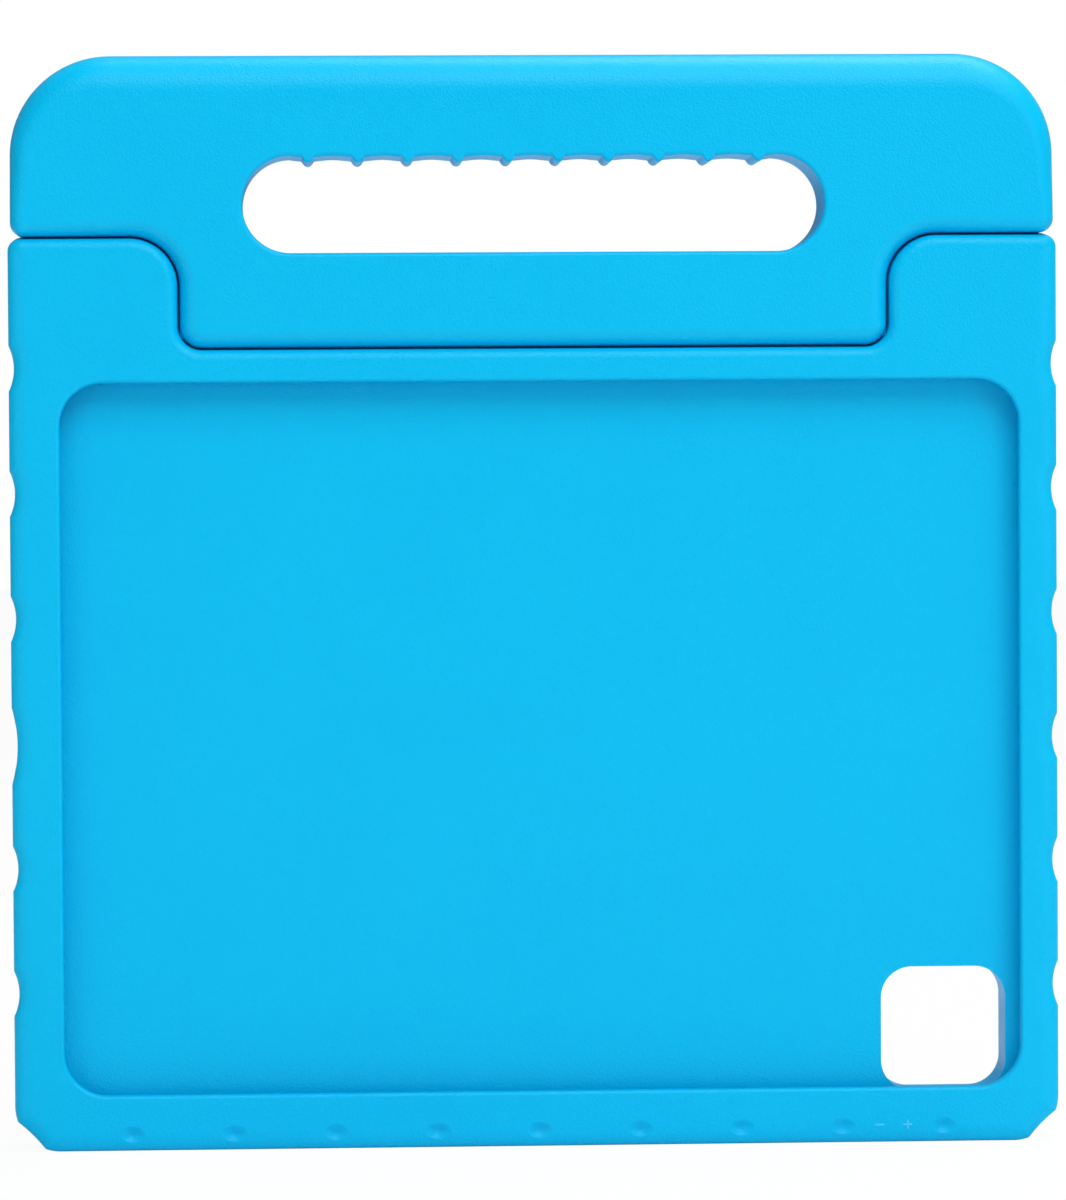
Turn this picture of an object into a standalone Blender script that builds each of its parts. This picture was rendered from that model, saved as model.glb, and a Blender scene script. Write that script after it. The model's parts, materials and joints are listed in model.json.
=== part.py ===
"""Kids tablet case: a thick foam body with a screen window, and a carry handle hinged on two bolts.

Metres. The screen window faces -Y, +X is to the right and +Z is up. The case stands on its flat bottom
edge. The handle turns back about the hinge axis, which runs along X through the two ears.
"""

import math

import bmesh
import bpy

MM = 0.001

# The tablet that the case is made for
DEVICE_LENGTH = 281.6 * MM
DEVICE_HEIGHT = 215.5 * MM
DEVICE_THICKNESS = 5.1 * MM
DEVICE_EASE = 0.5 * MM
POCKET_CORNER = 14.0 * MM

# Foam round the pocket
CASE_DEPTH = 26.0 * MM
FLANK_WALL = 8.7 * MM
SILL = 8.0 * MM
LINTEL = 4.4 * MM
FRONT_LIP = 2.8 * MM
BODY_RIM = 3.0 * MM
BODY_FOOT_CORNER = 13.0 * MM

# Screen window, by how far its lip covers the tablet on each side
LIP_LEFT = 5.2 * MM
LIP_RIGHT = 2.0 * MM
LIP_LOW = 7.5 * MM
LIP_HIGH = 4.4 * MM
WINDOW_CORNER = 12.3 * MM
WINDOW_RIM = 1.2 * MM

# Hinge between the ears and the handle's tab
SEAM = 0.65 * MM
BARREL_RADIUS = 13.25 * MM
EAR_WIDTH = 48.1 * MM
EAR_RISE = 18.0 * MM
EAR_ARC = 13.6 * MM
EAR_OUTER_CORNER = 3.5 * MM
EAR_DOME_SHARE = 0.75
TAB_FILLET = 7.0 * MM
SWING_DEGREES = 105.0
SWING_EASE = 0.3 * MM

# Carry handle
HANDLE_INSET = 0.7 * MM
SLOT_FLOOR_RISE = 13.6 * MM
SLOT_LENGTH = 166.4 * MM
SLOT_HEIGHT = 27.6 * MM
GRIP_HEIGHT = 29.2 * MM
HANDLE_CORNER = 28.7 * MM
HANDLE_SEAM_CORNER = 4.0 * MM
HANDLE_SEAM_CORNER_RIM = 3.8 * MM
GRIP_RIM = 11.0 * MM
SEAM_RIM = 5.0 * MM
SLOT_RIM = 2.5 * MM

# Finger ridges along the slot's ceiling
RIDGE_COUNT = 10
RIDGE_PITCH = 14.3 * MM
RIDGE_DEPTH = 1.5 * MM
RIDGE_HALF_WIDTH = 1.7 * MM
RIDGE_SAG = 0.5 * MM
RIDGE_ROUNDNESS = 1.5

# Grip grooves down the flanks, and scoops along the bottom edges
GROOVE_COUNT = 6
GROOVE_PITCH = 35.7 * MM
GROOVE_FIRST = 45.4 * MM
GROOVE_LENGTH = 13.0 * MM
GROOVE_DEPTH = 1.9 * MM
CORNER_GROOVE_LENGTH = 11.0 * MM
CORNER_GROOVE_DEPTH = 1.2 * MM
SCOOP_COUNT = 9
SCOOP_PITCH = 29.1 * MM
SCOOP_WIDTH = 9.0 * MM
SCOOP_TOP = 9.2 * MM
SCOOP_BOTTOM = -4.0 * MM
SCOOP_BITE = 2.6 * MM

# Openings for the tablet's port, speakers, camera and buttons
PORT_LENGTH = 16.0 * MM
PORT_WIDTH = 6.5 * MM
PORT_GROOVE_LENGTH = 22.0 * MM
SPEAKER_LENGTH = 24.0 * MM
SPEAKER_WIDTH = 3.4 * MM
CAMERA_SIDE = 36.0 * MM
CAMERA_CORNER = 9.0 * MM
CAMERA_INSET = 24.0 * MM
CAMERA_RIM = 3.0 * MM
BUTTON_WIDTH = 3.4 * MM
BUTTON_RECESS = 1.2 * MM
BUTTON_HEIGHT = 0.8 * MM
BUTTON_MARGIN = 1.0 * MM
VOLUME_LENGTH = 6.5 * MM
VOLUME_PITCH = 8.1 * MM
VOLUME_FROM_CORNER = 39.4 * MM
POWER_LENGTH = 12.0 * MM
POWER_FROM_CORNER = 18.0 * MM

# Pivot bolts and their inserts
BOLT_RADIUS = 3.0 * MM
BOLT_CLEARANCE = 0.3 * MM
HEAD_RADIUS = 7.5 * MM
HEAD_HEIGHT = 3.0 * MM
HEAD_SUNK = 0.8 * MM
HEAD_ROUND = 1.0 * MM
HEAD_CLEARANCE = 0.5 * MM
HEAD_SLOT_LENGTH = 9.0 * MM
HEAD_SLOT_WIDTH = 1.6 * MM
HEAD_SLOT_DEPTH = 1.2 * MM
INSERT_RADIUS = 5.4 * MM
INSERT_LENGTH = 14.0 * MM
INSERT_RIB = 0.5 * MM
INSERT_RIB_COUNT = 3
INSERT_LAND_END = 0.5
INSERT_SLOPE_END = 0.6
FIT_GAP = 0.3 * MM
BOLT_END_GAP = 1.0 * MM

# How finely round forms are divided
SIDE_PARTS = (0.25, 0.5, 0.75)
RIDGE_PARTS = (-1, -0.7, -0.35, 0, 0.35, 0.7, 1)
RIM_STEPS = 3
GRIP_RIM_STEPS = 5
ARC_STEP = math.radians(11)
TURN_STEPS = 32
OVERCUT = 5.0 * MM
ROUND_END = 0.495

# Worked out from the sizes above
HALF_DEPTH = CASE_DEPTH / 2
POCKET_LENGTH = DEVICE_LENGTH + 2 * DEVICE_EASE
POCKET_HEIGHT = DEVICE_HEIGHT + 2 * DEVICE_EASE
POCKET_TOP = SILL + POCKET_HEIGHT
POCKET_MIDDLE = SILL + POCKET_HEIGHT / 2
POCKET_FRONT = -HALF_DEPTH + FRONT_LIP
POCKET_FLOOR = POCKET_FRONT + DEVICE_THICKNESS + DEVICE_EASE
DEVICE_MIDDLE = (POCKET_FRONT + POCKET_FLOOR) / 2
WINDOW_LENGTH = DEVICE_LENGTH - LIP_LEFT - LIP_RIGHT
WINDOW_HEIGHT = DEVICE_HEIGHT - LIP_LOW - LIP_HIGH
WINDOW_SHIFT = (LIP_LEFT - LIP_RIGHT) / 2
WINDOW_SILL = SILL + DEVICE_EASE + LIP_LOW
SPEAKER_GROOVES = (0, GROOVE_COUNT - 2)
BODY_HALF = POCKET_LENGTH / 2 + FLANK_WALL
TROUGH_RADIUS = BARREL_RADIUS + SEAM
HINGE_Z = POCKET_TOP + LINTEL + TROUGH_RADIUS
EAR_WALL = BODY_HALF - EAR_WIDTH
EAR_ARC_X = EAR_WALL + EAR_ARC
EAR_ARC_Z = EAR_RISE - EAR_ARC
HANDLE_HALF = BODY_HALF - HANDLE_INSET
HANDLE_TOP = SLOT_FLOOR_RISE + SLOT_HEIGHT + GRIP_HEIGHT
TAB_HALF = EAR_WALL - SEAM
SWING = math.radians(SWING_DEGREES)
HEAD_BORE_FLOOR = BODY_HALF - HEAD_SUNK - HEAD_HEIGHT - FIT_GAP
INSERT_HOLE_END = TAB_HALF - INSERT_LENGTH - BOLT_END_GAP


def arc(centre, radius, start, end):
    """Points of an arc in X and Z, from one angle in degrees to another."""
    steps = max(2, round(abs(math.radians(end - start)) / ARC_STEP))
    angles = [math.radians(start + (end - start) * i / steps) for i in range(steps + 1)]
    return [(centre[0] + radius * math.cos(a), centre[1] + radius * math.sin(a)) for a in angles]


def groove(middle, angle, length, depth):
    """Points of a shallow round notch in an edge that runs at this angle, with the foam on its left."""
    radius = (length * length / 4 + depth * depth) / (2 * depth)
    spread = math.degrees(math.asin(length / 2 / radius))
    inward = math.radians(angle + 90)
    reach = depth - radius
    centre = (middle[0] + reach * math.cos(inward), middle[1] + reach * math.sin(inward))
    return arc(centre, radius, angle + 90 + spread, angle + 90 - spread)


def rounded_rectangle(length, height, corner, middle=(0, 0)):
    """Outline of a rectangle with round corners."""
    points = []
    for side, top, start in ((1, -1, -90), (1, 1, 0), (-1, 1, 90), (-1, -1, 180)):
        centre = (middle[0] + side * (length / 2 - corner), middle[1] + top * (height / 2 - corner))
        points += arc(centre, corner, start, start + 90)
    return points


def mirrored(half):
    """A half outline that starts and ends on the middle plane, with its mirror image after it."""
    return half + [(-x, z) for x, z in reversed(half)]


def inward_vectors(outline):
    """Mitred inward vectors at the points of a closed outline that runs counterclockwise."""
    vectors = []
    for i, (x, z) in enumerate(outline):
        before = outline[i - 1]
        after = outline[(i + 1) % len(outline)]
        first = math.atan2(z - before[1], x - before[0])
        second = math.atan2(after[1] - z, after[0] - x)
        turn = (second - first + math.pi) % (2 * math.pi) - math.pi
        direction = first + turn / 2 + math.pi / 2
        mitre = 1 / math.cos(turn / 2)
        vectors.append((mitre * math.cos(direction), mitre * math.sin(direction)))
    return vectors


def rim_rings(outline, vectors, rims, face, towards, sign, steps=RIM_STEPS):
    """Rings that round an outline's edge over to a flat face, from the flank to the face."""
    rings = []
    for step in range(steps + 1):
        angle = math.pi / 2 * step / steps
        ring = []
        for (x, z), (dx, dz), rim in zip(outline, vectors, rims):
            shift = sign * rim * (1 - math.cos(angle))
            depth = face - towards * rim * (1 - math.sin(angle))
            ring.append((x + shift * dx, depth, z + shift * dz))
        rings.append(ring)
    return rings


def slab_rings(outline, rims, steps):
    """Rings of a slab as deep as the case, with both its edges rounded."""
    vectors = inward_vectors(outline)
    front = rim_rings(outline, vectors, rims, -HALF_DEPTH, -1, 1, steps)
    back = rim_rings(outline, vectors, rims, HALF_DEPTH, 1, 1, steps)
    return front[::-1] + back


def flare_rings(outline, rims, face, towards, vectors=None):
    """Rings of a cutter that opens out at a face, so that the cut edge is round, and runs on past it."""
    vectors = vectors or inward_vectors(outline)
    rings = rim_rings(outline, vectors, rims, face, towards, -1)
    rings.append([(x, face + towards * OVERCUT, z) for x, _, z in rings[-1]])
    return rings


def flat_ring(outline, depth):
    """An outline at one depth."""
    return [(x, depth, z) for x, z in outline]


def new_material(name, colour, roughness):
    """A Principled material of one colour."""
    material = bpy.data.materials.new(name)
    material.use_nodes = True
    shader = material.node_tree.nodes["Principled BSDF"]
    shader.inputs["Base Color"].default_value = (*colour, 1)
    shader.inputs["Roughness"].default_value = roughness
    shader.inputs["Metallic"].default_value = 0
    material.diffuse_color = (*colour, 1)
    return material


def place(name, mesh, collection, material=None, parent=None):
    """An object for a mesh, in its collection and with its material."""
    piece = bpy.data.objects.new(name, mesh)
    collection.objects.link(piece)
    piece.parent = parent
    if material:
        mesh.materials.append(material)
    if collection is cutters:
        piece.hide_render = True
        piece.display_type = "WIRE"
    return piece


def loft(name, rings, collection, material=None, parent=None):
    """A closed solid through rings of equally many points, with a flat cap at each end."""
    shape = bmesh.new()
    rows = [[shape.verts.new(point) for point in ring] for ring in rings]
    count = len(rows[0])
    for row, following in zip(rows, rows[1:]):
        for i in range(count):
            j = (i + 1) % count
            shape.faces.new((row[i], row[j], following[j], following[i]))
    shape.faces.new(rows[0])
    shape.faces.new(rows[-1])
    bmesh.ops.recalc_face_normals(shape, faces=shape.faces)
    mesh = bpy.data.meshes.new(name)
    shape.to_mesh(mesh)
    shape.free()
    mesh.shade_smooth()
    mesh.set_sharp_from_angle(angle=math.radians(35))
    return place(name, mesh, collection, material, parent)


def turned(name, profile, collection, side=1, material=None, parent=None, closed=False, roll=0.0):
    """A profile of radius and height turned about Z, then laid along X, towards the right or the left.

    The roll, in facets, keeps the facets of two turned forms on one axis from lying in line.
    """
    mesh = bpy.data.meshes.new(name)
    edges = [(i, i + 1) for i in range(len(profile) - 1)]
    if closed:
        edges.append((len(profile) - 1, 0))
    angle = roll * 2 * math.pi / TURN_STEPS
    across, along = math.cos(angle), math.sin(angle)
    mesh.from_pydata([(r * across, r * along, height) for r, height in profile], edges, [])
    piece = place(name, mesh, collection, material, parent)
    screw = piece.modifiers.new("turn", "SCREW")
    screw.steps = TURN_STEPS
    screw.render_steps = TURN_STEPS
    screw.use_merge_vertices = True
    screw.merge_threshold = 0.00001
    screw.use_smooth_shade = True
    piece.rotation_euler = (0, side * math.pi / 2, 0)
    return piece


def prism(name, section, start, end):
    """A cutter with this outline in Y and Z, relative to the hinge axis, from one X to another."""
    shape = bmesh.new()
    ends = [[shape.verts.new((x, y, z)) for y, z in section] for x in (start, end)]
    shape.faces.new(ends[0])
    shape.faces.new(ends[1])
    for i in range(len(section)):
        j = (i + 1) % len(section)
        shape.faces.new((ends[0][i], ends[0][j], ends[1][j], ends[1][i]))
    bmesh.ops.recalc_face_normals(shape, faces=shape.faces)
    mesh = bpy.data.meshes.new(name)
    shape.to_mesh(mesh)
    shape.free()
    return place(name, mesh, cutters)


def combine(piece, other, operation="DIFFERENCE"):
    """Cut another object out of a piece, or join it on."""
    boolean = piece.modifiers.new(other.name, "BOOLEAN")
    boolean.operation = operation
    boolean.object = other


def cylinder_profile(radius, low, high):
    """Profile of a plain cylinder for turned()."""
    return [(0, high), (radius, high), (radius, low), (0, low)]


def ear_profile(reach):
    """Profile of the form that the ear has behind the hinge axis: a cylinder with a domed inner end."""
    dome = [(z - SWING_EASE, x) for x, z in arc((EAR_ARC_X, EAR_ARC_Z), EAR_ARC, 90, 180)]
    stub = EAR_WALL - OVERCUT
    top = EAR_RISE - SWING_EASE
    return [(0, reach), (top, reach), *dome, (EAR_ARC_Z - SWING_EASE, stub), (0, stub)]


def flank(grooves):
    """Points up the right flank, with a groove at each given height and of each given length."""
    points = []
    for height, length in grooves:
        points += groove((BODY_HALF, height), 90, length, GROOVE_DEPTH)
    return points


def body_half(grooves):
    """The body's outline from the middle of its bottom edge, up one flank, to the middle of the trough."""
    corner = (BODY_HALF - BODY_FOOT_CORNER, BODY_FOOT_CORNER)
    spread = math.degrees(math.asin(CORNER_GROOVE_LENGTH / 2 / BODY_FOOT_CORNER))
    chord = BODY_FOOT_CORNER * math.cos(math.radians(spread)) * math.sqrt(0.5)
    points = arc(corner, BODY_FOOT_CORNER, -90, -45 - spread)[:-1]
    points += groove(
        (corner[0] + chord, corner[1] - chord), 45, CORNER_GROOVE_LENGTH, CORNER_GROOVE_DEPTH
    )
    points += arc(corner, BODY_FOOT_CORNER, -45 + spread, 0)[1:]
    points += flank(grooves)
    top = HINGE_Z + EAR_RISE
    ear_corner = (BODY_HALF - EAR_OUTER_CORNER, top - EAR_OUTER_CORNER)
    points += arc(ear_corner, EAR_OUTER_CORNER, 0, 90)
    points += arc((EAR_ARC_X, HINGE_Z + EAR_ARC_Z), EAR_ARC, 90, 180)
    foot = (EAR_WALL - TAB_FILLET, HINGE_Z - TROUGH_RADIUS + TAB_FILLET)
    points += arc(foot, TAB_FILLET, 0, -90)
    return points


def groove_heights():
    """Heights of the flank grooves."""
    return [GROOVE_FIRST + i * GROOVE_PITCH for i in range(GROOVE_COUNT)]


def port_groove():
    """Which flank groove the charging port opens in: the one nearest the pocket's middle."""
    heights = groove_heights()
    return min(range(GROOVE_COUNT), key=lambda i: abs(heights[i] - POCKET_MIDDLE))


def body_outline():
    """The body's whole outline, counterclockwise. The left flank has a longer groove at the port."""
    plain = [(height, GROOVE_LENGTH) for height in groove_heights()]
    left = list(plain)
    left[port_groove()] = (POCKET_MIDDLE, PORT_GROOVE_LENGTH)
    return body_half(plain) + [(-x, z) for x, z in reversed(body_half(left))]


def window_and_pocket():
    """Cutter for the screen window and, behind its lip, the tablet's pocket."""
    window_middle = (WINDOW_SHIFT, WINDOW_SILL + WINDOW_HEIGHT / 2)
    window = rounded_rectangle(WINDOW_LENGTH, WINDOW_HEIGHT, WINDOW_CORNER, window_middle)
    pocket = rounded_rectangle(POCKET_LENGTH, POCKET_HEIGHT, POCKET_CORNER, (0, POCKET_MIDDLE))
    rims = [WINDOW_RIM] * len(window)
    rings = flare_rings(window, rims, -HALF_DEPTH, -1)[::-1]
    rings += [flat_ring(window, POCKET_FRONT), flat_ring(pocket, POCKET_FRONT)]
    rings.append(flat_ring(pocket, POCKET_FLOOR))
    return loft("window_and_pocket", rings, cutters)


def camera_opening():
    """Cutter through the back wall for the rear camera, opening out at the back."""
    middle = (POCKET_LENGTH / 2 - CAMERA_INSET, SILL + CAMERA_INSET)
    outline = rounded_rectangle(CAMERA_SIDE, CAMERA_SIDE, CAMERA_CORNER, middle)
    start = flat_ring(outline, DEVICE_MIDDLE)
    rings = [start] + flare_rings(outline, [CAMERA_RIM] * len(outline), HALF_DEPTH, 1)
    return loft("camera_opening", rings, cutters)


def flank_opening(name, side, height, length, width):
    """Cutter through one flank into the pocket, with round ends."""
    outline = rounded_rectangle(width, length, width * ROUND_END, (0, height))
    rings = [flat_ring(outline, 0), flat_ring(outline, FLANK_WALL + 2 * OVERCUT)]
    opening = loft(name, rings, cutters)
    opening.rotation_euler = (0, 0, -side * math.pi / 2)
    opening.location = (side * (POCKET_LENGTH / 2 - OVERCUT), DEVICE_MIDDLE, 0)
    return opening


def button(name, length, turn, place_at):
    """A shallow recess with a raised pad in it: a cutter, and a pad to join on. Both face local -Z."""
    pieces = []
    recess = rounded_rectangle(
        length + 2 * BUTTON_MARGIN, BUTTON_WIDTH + 2 * BUTTON_MARGIN, BUTTON_WIDTH / 2
    )
    pad = rounded_rectangle(length, BUTTON_WIDTH, BUTTON_WIDTH * ROUND_END)
    top = BUTTON_RECESS - BUTTON_HEIGHT
    for part, outline, low, high in (
        ("recess", recess, -OVERCUT, BUTTON_RECESS),
        ("pad", pad, top, BUTTON_RECESS + OVERCUT / 2),
    ):
        piece = loft(f"{name}_{part}", [flat_ring(outline, low), flat_ring(outline, high)], cutters)
        piece.rotation_euler = turn
        piece.location = place_at
        pieces.append(piece)
    return pieces


def scoops():
    """Cutter for the half-moon scoops along the bottom edge, at the front and at the back."""
    shape = bmesh.new()
    for side in (-1, 1):
        for i in range(SCOOP_COUNT):
            ball = bmesh.ops.create_uvsphere(shape, u_segments=14, v_segments=8, radius=1)
            size = (SCOOP_WIDTH / 2, SCOOP_BITE, (SCOOP_TOP - SCOOP_BOTTOM) / 2)
            centre = ((i - (SCOOP_COUNT - 1) / 2) * SCOOP_PITCH, side * HALF_DEPTH)
            bmesh.ops.scale(shape, vec=size, verts=ball["verts"])
            lift = (SCOOP_TOP + SCOOP_BOTTOM) / 2
            bmesh.ops.translate(shape, vec=(*centre, lift), verts=ball["verts"])
    mesh = bpy.data.meshes.new("scoops")
    shape.to_mesh(mesh)
    shape.free()
    return place("scoops", mesh, cutters)


def swing_slope(depth):
    """Height, from the hinge axis, of the slope that the handle's back comes down to when fully turned."""
    return -(TROUGH_RADIUS - depth * math.cos(SWING)) / math.sin(SWING)


def swing_room():
    """Cutter for the room behind the hinge axis that the handle swings through. It leaves the ears' domes."""
    reach = BODY_HALF + OVERCUT
    narrow = EAR_WALL + EAR_DOME_SHARE * EAR_ARC
    top = EAR_RISE + OVERCUT
    rings = []
    for depth in (0, HALF_DEPTH + OVERCUT):
        low = swing_slope(depth)
        outline = [(-narrow, low), (narrow, low), (narrow, 0), (reach, 0)]
        outline += [(reach, top), (-reach, top), (-reach, 0), (-narrow, 0)]
        rings.append(flat_ring(outline, depth))
    room = loft("swing_room", rings, cutters)
    room.location.z = HINGE_Z
    for side, word in ((-1, "left"), (1, "right")):
        ear = turned(f"ear_form_{word}", ear_profile(reach + OVERCUT), cutters, side, roll=0.5)
        ear.location.z = HINGE_Z
        combine(room, ear)
    return room


def trough():
    """Cutter for the round trough that the handle's tab turns in."""
    cutter = turned("trough", cylinder_profile(TROUGH_RADIUS, -EAR_WALL, EAR_WALL), cutters)
    cutter.location.z = HINGE_Z
    return cutter


def bolt_holes():
    """Cutters for the bolts' bores through the ears and the sunk seats of their heads."""
    found = []
    seat = HEAD_RADIUS + HEAD_CLEARANCE
    bore = BOLT_RADIUS + BOLT_CLEARANCE
    profile = [(0, BODY_HALF + OVERCUT), (seat, BODY_HALF + OVERCUT), (seat, HEAD_BORE_FLOOR)]
    profile += [(bore, HEAD_BORE_FLOOR), (bore, EAR_WALL - OVERCUT), (0, EAR_WALL - OVERCUT)]
    for side, word in ((-1, "left"), (1, "right")):
        hole = turned(f"bolt_hole_{word}", profile, cutters, side, roll=0.25)
        hole.location.z = HINGE_Z
        found.append(hole)
    return found


def make_body():
    """The foam body."""
    outline = body_outline()
    body = loft("case_body", slab_rings(outline, [BODY_RIM] * len(outline), RIM_STEPS), case, foam)
    for cutter in (trough(), swing_room(), *bolt_holes()):
        combine(body, cutter)
    combine(body, window_and_pocket())
    combine(body, camera_opening())
    combine(body, flank_opening("port_opening", -1, POCKET_MIDDLE, PORT_LENGTH, PORT_WIDTH))
    heights = groove_heights()
    for side, word in ((-1, "left"), (1, "right")):
        for index in SPEAKER_GROOVES:
            name = f"speaker_opening_{word}_{index}"
            combine(body, flank_opening(name, side, heights[index], SPEAKER_LENGTH, SPEAKER_WIDTH))
    combine(body, scoops())
    pads = []
    volume_middle = POCKET_LENGTH / 2 - VOLUME_FROM_CORNER
    for index in (-0.5, 0.5):
        name = f"volume_{'down' if index < 0 else 'up'}"
        spot = (volume_middle + index * VOLUME_PITCH, DEVICE_MIDDLE, 0)
        pads.append(button(name, VOLUME_LENGTH, (math.pi / 2, 0, 0), spot))
    spot = (BODY_HALF, DEVICE_MIDDLE, SILL + POWER_FROM_CORNER)
    pads.append(button("power", POWER_LENGTH, (math.pi / 2, -math.pi / 2, 0), spot))
    for recess, _ in pads:
        combine(body, recess)
    for _, pad in pads:
        combine(body, pad, "UNION")


def handle_half():
    """The handle's outline and its edge rounding, from the tab's bottom to the top, about the hinge."""
    fillet = TAB_FILLET - SEAM
    under = EAR_RISE + SEAM
    tab = arc((TAB_HALF - fillet, -BARREL_RADIUS + fillet), fillet, -90, 0)
    tab += arc((EAR_ARC_X, EAR_ARC_Z), EAR_ARC + SEAM, 180, 90)
    corner = (HANDLE_HALF - HANDLE_SEAM_CORNER, under + HANDLE_SEAM_CORNER)
    seam_corner = arc(corner, HANDLE_SEAM_CORNER, -90, 0)
    shoulder = HANDLE_TOP - HANDLE_CORNER
    rise = shoulder - corner[1]
    side = [(HANDLE_HALF, corner[1] + rise * part) for part in SIDE_PARTS]
    top = arc((HANDLE_HALF - HANDLE_CORNER, shoulder), HANDLE_CORNER, 0, 90)
    points = tab + seam_corner + side + top
    rims = [SEAM_RIM] * len(tab) + [HANDLE_SEAM_CORNER_RIM] * len(seam_corner)
    growth = GRIP_RIM - HANDLE_SEAM_CORNER_RIM
    rims += [HANDLE_SEAM_CORNER_RIM + growth * part for part in SIDE_PARTS]
    rims += [GRIP_RIM] * len(top)
    return points, rims


def ridge_profile():
    """Ceiling of the hand slot from right to left: offset along X and drop below the slot's top."""
    points = []
    for i in range(RIDGE_COUNT):
        middle = ((RIDGE_COUNT - 1) / 2 - i) * RIDGE_PITCH
        for across in RIDGE_PARTS:
            drop = RIDGE_SAG + RIDGE_DEPTH * (1 - across**2) ** RIDGE_ROUNDNESS
            points.append((middle - across * RIDGE_HALF_WIDTH, drop))
        if i < RIDGE_COUNT - 1:
            points.append((middle - RIDGE_PITCH / 2, 0))
    return points


def hand_slot():
    """Cutter for the hand slot, with finger ridges in its ceiling and round edges."""
    radius = SLOT_HEIGHT / 2
    middle = SLOT_FLOOR_RISE + radius
    straight = SLOT_LENGTH / 2 - radius
    ceiling = [(x, middle + radius - drop) for x, drop in ridge_profile() if abs(x) < straight]
    right = arc((straight, middle), radius, -90, 90)
    left = arc((-straight, middle), radius, 90, 270)
    outline = right + ceiling + left
    vectors = inward_vectors(outline)
    first = len(right)
    vectors[first : first + len(ceiling)] = [(0, -1)] * len(ceiling)
    rims = [SLOT_RIM] * len(outline)
    front = flare_rings(outline, rims, -HALF_DEPTH, -1, vectors)
    back = flare_rings(outline, rims, HALF_DEPTH, 1, vectors)
    return loft("hand_slot", front[::-1] + back, cutters, parent=hinge)


def barrel_room():
    """Cutter that leaves the tab round about the hinge, below and behind the axis."""
    low = -BARREL_RADIUS - OVERCUT
    far = HALF_DEPTH + OVERCUT
    reach = TAB_HALF + SEAM / 2
    room = prism("barrel_room", [(0, low), (far, low), (far, 0), (0, 0)], -reach, reach)
    room.parent = hinge
    profile = cylinder_profile(BARREL_RADIUS, -reach - OVERCUT, reach + OVERCUT)
    barrel = turned("barrel_form", profile, cutters, parent=hinge)
    combine(room, barrel)
    return room


def make_handle():
    """The foam handle."""
    half, rims = handle_half()
    outline = mirrored(half)
    rings = slab_rings(outline, rims + rims[::-1], GRIP_RIM_STEPS)
    handle = loft("carry_handle", rings, case, foam, hinge)
    combine(handle, barrel_room())
    combine(handle, hand_slot())
    hole = INSERT_RADIUS + FIT_GAP
    profile = cylinder_profile(hole, INSERT_HOLE_END, TAB_HALF + OVERCUT)
    for side, word in ((-1, "left"), (1, "right")):
        combine(handle, turned(f"insert_hole_{word}", profile, cutters, side, parent=hinge))


def make_bolt(side, word):
    """One pivot bolt: a shank through the ear, and a slotted head sunk in the flank."""
    top = BODY_HALF - HEAD_SUNK
    under = top - HEAD_HEIGHT
    end = INSERT_HOLE_END + BOLT_END_GAP / 2
    edge = arc((HEAD_RADIUS - HEAD_ROUND, top - HEAD_ROUND), HEAD_ROUND, 90, 0)
    profile = [(0, top), *edge, (HEAD_RADIUS, under), (BOLT_RADIUS, under)]
    profile += [(BOLT_RADIUS, end + HEAD_ROUND), (BOLT_RADIUS - HEAD_ROUND / 2, end), (0, end)]
    bolt = turned(f"pivot_bolt_{word}", profile, case, side, plastic, hinge)
    half_length = HEAD_SLOT_LENGTH / 2
    half_width = HEAD_SLOT_WIDTH / 2
    corners = [(-half_length, -half_width), (half_length, -half_width)]
    corners += [(half_length, half_width), (-half_length, half_width)]
    slot = prism(f"bolt_slot_{word}", corners, side * (top - HEAD_SLOT_DEPTH), side * (top + OVERCUT))
    slot.parent = hinge
    combine(bolt, slot)


def make_insert(side, word):
    """One threaded insert: a ribbed bush in the end of the tab, round the bolt's shank."""
    outer = TAB_HALF
    pitch = INSERT_LENGTH / INSERT_RIB_COUNT
    bore = BOLT_RADIUS + FIT_GAP
    neck = INSERT_RADIUS - INSERT_RIB
    profile = [(bore, outer)]
    for i in range(INSERT_RIB_COUNT):
        high = outer - i * pitch
        profile += [(INSERT_RADIUS, high), (INSERT_RADIUS, high - pitch * INSERT_LAND_END)]
        profile += [(neck, high - pitch * INSERT_SLOPE_END), (neck, high - pitch)]
    profile.append((bore, outer - INSERT_LENGTH))
    turned(f"pivot_insert_{word}", profile, case, side, plastic, hinge, closed=True)


def clear_scene():
    """Remove whatever the scene holds."""
    for item in list(bpy.data.objects):
        bpy.data.objects.remove(item, do_unlink=True)


def new_collection(name):
    """A collection under the scene's own."""
    collection = bpy.data.collections.new(name)
    bpy.context.scene.collection.children.link(collection)
    return collection


clear_scene()
case = new_collection("kids_tablet_case")
cutters = new_collection("cutters")
foam = new_material("blue_foam", (0.002, 0.51, 0.89), 0.55)
plastic = new_material("blue_plastic", (0.002, 0.36, 0.68), 0.4)
hinge = bpy.data.objects.new("handle_hinge", None)
hinge.location = (0, 0, HINGE_Z)
case.objects.link(hinge)
make_body()
make_handle()
for side, word in ((-1, "left"), (1, "right")):
    make_bolt(side, word)
    make_insert(side, word)
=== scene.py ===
"""Looks of a kids tablet case: finer foam mouldings, bolts, marks, materials and a plain studio."""

import json
import math

import bmesh
import bpy
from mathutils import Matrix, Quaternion, Vector


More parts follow.
